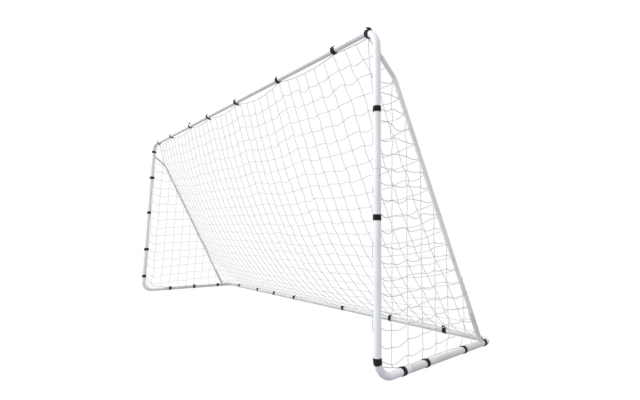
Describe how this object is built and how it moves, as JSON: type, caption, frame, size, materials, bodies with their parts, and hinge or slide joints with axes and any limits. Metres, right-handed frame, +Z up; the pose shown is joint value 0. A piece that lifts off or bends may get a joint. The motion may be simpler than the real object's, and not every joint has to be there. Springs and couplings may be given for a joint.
{
  "type": "soccer goal frame",
  "caption": "Portable soccer goal: push-fit white tube frame with rear braces and a net held by black straps.",
  "frame": {"origin": "on the ground, in the middle of the goal's bounding box", "axes": "+X across the mouth, -Y out of the mouth, +Y towards the rear ground bar, +Z up"},
  "size_m": [3.667, 1.2266, 1.8425],
  "materials": {
    "white_tube": "gloss powder coat",
    "white_brace": "gloss powder coat",
    "plated_steel": "dull plating",
    "black_strap": "woven hook-and-loop",
    "net_cord": "braided cord"
  },
  "bodies": {
    "frame": {"crossbar_centre": "white_tube", "crossbar_left": "white_tube", "crossbar_right": "white_tube", "lower_brace_left": "white_brace", "lower_brace_right": "white_brace", "lower_post_left": "white_tube", "lower_post_right": "white_tube", "net_back": "net_cord", "net_side_left": "net_cord", "net_side_right": "net_cord", "rear_base_centre": "white_tube", "rear_base_left": "white_tube", "rear_base_right": "white_tube", "rear_corner_left": "white_tube", "rear_corner_right": "white_tube", "side_base_left": "white_tube", "side_base_right": "white_tube", "strap_crossbar_1": "black_strap", "strap_crossbar_2": "black_strap", "strap_crossbar_3": "black_strap", "strap_crossbar_4": "black_strap", "strap_crossbar_5": "black_strap", "strap_crossbar_6": "black_strap", "strap_crossbar_7": "black_strap", "strap_crossbar_8": "black_strap", "strap_left_base_1": "black_strap", "strap_left_base_2": "black_strap", "strap_left_base_3": "black_strap", "strap_left_post_1": "black_strap", "strap_left_post_2": "black_strap", "strap_left_post_3": "black_strap", "strap_left_post_4": "black_strap", "strap_left_post_5": "black_strap", "strap_rear_1": "black_strap", "strap_rear_2": "black_strap", "strap_rear_3": "black_strap", "strap_rear_4": "black_strap", "strap_rear_5": "black_strap", "strap_rear_6": "black_strap", "strap_rear_7": "black_strap", "strap_right_base_1": "black_strap", "strap_right_base_2": "black_strap", "strap_right_base_3": "black_strap", "strap_right_base_4": "black_strap", "strap_right_post_1": "black_strap", "strap_right_post_2": "black_strap", "strap_right_post_3": "black_strap", "upper_brace_left": "white_brace", "upper_brace_right": "white_brace", "upper_post_left": "white_tube", "upper_post_right": "white_tube"},
    "brace_left_button": {"button_brace_left": "plated_steel"},
    "brace_right_button": {"button_brace_right": "plated_steel"},
    "crossbar_inner_left_button": {"button_crossbar_inner_left": "plated_steel"},
    "crossbar_inner_right_button": {"button_crossbar_inner_right": "plated_steel"},
    "crossbar_outer_left_button": {"button_crossbar_outer_left": "plated_steel"},
    "crossbar_outer_right_button": {"button_crossbar_outer_right": "plated_steel"},
    "post_left_button": {"button_post_left": "plated_steel"},
    "post_right_button": {"button_post_right": "plated_steel"}
  },
  "joints": [
    {"name": "brace_left_press", "type": "slide", "parent": "frame", "child": "brace_left_button", "axis": [-1, 0, 0], "range_m": [-0.0043, 0], "stiffness_N_per_m": 1500, "springref_m": 0.002},
    {"name": "brace_right_press", "type": "slide", "parent": "frame", "child": "brace_right_button", "axis": [1, 0, 0], "range_m": [-0.0043, 0], "stiffness_N_per_m": 1500, "springref_m": 0.002},
    {"name": "crossbar_inner_left_press", "type": "slide", "parent": "frame", "child": "crossbar_inner_left_button", "axis": [0, 1, 0], "range_m": [-0.0052, 0], "stiffness_N_per_m": 1500, "springref_m": 0.002},
    {"name": "crossbar_inner_right_press", "type": "slide", "parent": "frame", "child": "crossbar_inner_right_button", "axis": [0, 1, 0], "range_m": [-0.0052, 0], "stiffness_N_per_m": 1500, "springref_m": 0.002},
    {"name": "crossbar_outer_left_press", "type": "slide", "parent": "frame", "child": "crossbar_outer_left_button", "axis": [0, 1, 0], "range_m": [-0.0052, 0], "stiffness_N_per_m": 1500, "springref_m": 0.002},
    {"name": "crossbar_outer_right_press", "type": "slide", "parent": "frame", "child": "crossbar_outer_right_button", "axis": [0, 1, 0], "range_m": [-0.0052, 0], "stiffness_N_per_m": 1500, "springref_m": 0.002},
    {"name": "post_left_press", "type": "slide", "parent": "frame", "child": "post_left_button", "axis": [-1, 0, 0], "range_m": [-0.0052, 0], "stiffness_N_per_m": 1500, "springref_m": 0.002},
    {"name": "post_right_press", "type": "slide", "parent": "frame", "child": "post_right_button", "axis": [1, 0, 0], "range_m": [-0.0052, 0], "stiffness_N_per_m": 1500, "springref_m": 0.002}
  ]
}
